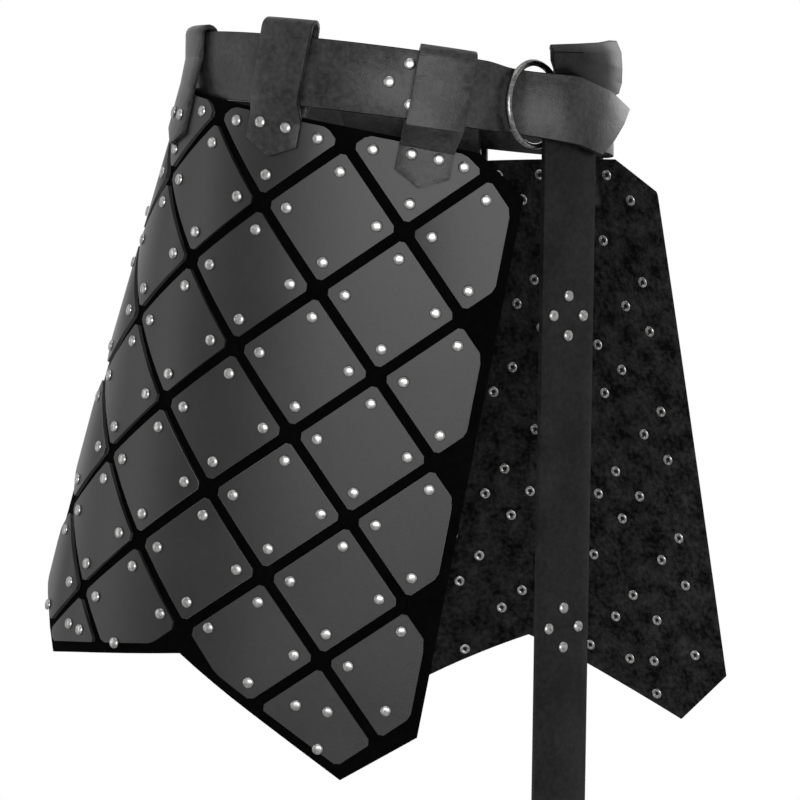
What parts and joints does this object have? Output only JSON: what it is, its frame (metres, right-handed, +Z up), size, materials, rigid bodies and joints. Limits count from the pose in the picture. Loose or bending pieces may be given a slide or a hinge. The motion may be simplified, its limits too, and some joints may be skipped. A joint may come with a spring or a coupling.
{
  "type": "thigh armor",
  "caption": "Leather waist belt with a ring and knot, from which two riveted plated tassets hang over the thighs.",
  "frame": {"origin": "centre of the waist opening at half the belt's height", "axes": "+X to the wearer's left, -Y to the front, +Z up"},
  "size_m": [0.4522, 0.4209, 0.608],
  "materials": {
    "plate_leather": "satin dark grey tooling leather with paler cut edges",
    "strap_leather": "slightly worn grey-black strap leather",
    "suede": "matte black suede",
    "nickel": "polished nickel plate"
  },
  "bodies": {
    "belt": {"belt_strap": "strap_leather", "ring_fold": "strap_leather", "belt_rivets": "nickel", "knot_turn": "strap_leather", "right_rear_hanger": "strap_leather", "right_middle_hanger": "strap_leather", "right_front_hanger": "strap_leather", "left_rear_hanger": "strap_leather", "left_middle_hanger": "strap_leather", "left_front_hanger": "strap_leather"},
    "ring": {"ring": "nickel"},
    "hanging_end": {"hanging_end": "strap_leather", "hanging_end_rivets": "nickel"},
    "right_tasset": {"right_backing": "suede", "right_plate_row_1": "plate_leather", "right_plate_row_2": "plate_leather", "right_plate_row_3": "plate_leather", "right_plate_row_4": "plate_leather", "right_plate_row_5": "plate_leather", "right_plate_row_6": "plate_leather", "right_plate_row_7": "plate_leather", "right_plate_row_8": "plate_leather", "right_plate_row_9": "plate_leather", "right_rivet_row_1": "nickel", "right_rivet_row_2": "nickel", "right_rivet_row_3": "nickel", "right_rivet_row_4": "nickel", "right_rivet_row_5": "nickel", "right_rivet_row_6": "nickel", "right_rivet_row_7": "nickel", "right_rivet_row_8": "nickel", "right_rivet_row_9": "nickel", "right_hanger_rivets": "nickel"},
    "left_tasset": {"left_backing": "suede", "left_plate_row_1": "plate_leather", "left_plate_row_2": "plate_leather", "left_plate_row_3": "plate_leather", "left_plate_row_4": "plate_leather", "left_plate_row_5": "plate_leather", "left_plate_row_6": "plate_leather", "left_plate_row_7": "plate_leather", "left_plate_row_8": "plate_leather", "left_plate_row_9": "plate_leather", "left_rivet_row_1": "nickel", "left_rivet_row_2": "nickel", "left_rivet_row_3": "nickel", "left_rivet_row_4": "nickel", "left_rivet_row_5": "nickel", "left_rivet_row_6": "nickel", "left_rivet_row_7": "nickel", "left_rivet_row_8": "nickel", "left_rivet_row_9": "nickel", "left_hanger_rivets": "nickel"}
  },
  "joints": [
    {"name": "ring_turn", "type": "hinge", "parent": "belt", "child": "ring", "pos_m": [-0.03502, -0.14586, -0.01016], "axis": [-0.0436, -0.999, 0], "continuous": true},
    {"name": "hanging_end_swing", "type": "hinge", "parent": "belt", "child": "hanging_end", "pos_m": [-0.00697, -0.15762, -0.02995], "axis": [-0.9707, 0.2403, 0], "range_deg": [-6, 7]},
    {"name": "right_tasset_swing", "type": "hinge", "parent": "belt", "child": "right_tasset", "pos_m": [-0.13255, 0.00025, 0.0397], "axis": [-0.2215, 0.9751, 0], "range_deg": [0, 40], "deforming": ["right_rear_hanger", "right_middle_hanger", "right_front_hanger"]},
    {"name": "left_tasset_swing", "type": "hinge", "parent": "belt", "child": "left_tasset", "pos_m": [0.14939, 0.05144, 0.01539], "axis": [0.3156, -0.9489, 0], "range_deg": [0, 35], "deforming": ["left_rear_hanger", "left_middle_hanger", "left_front_hanger"]}
  ]
}
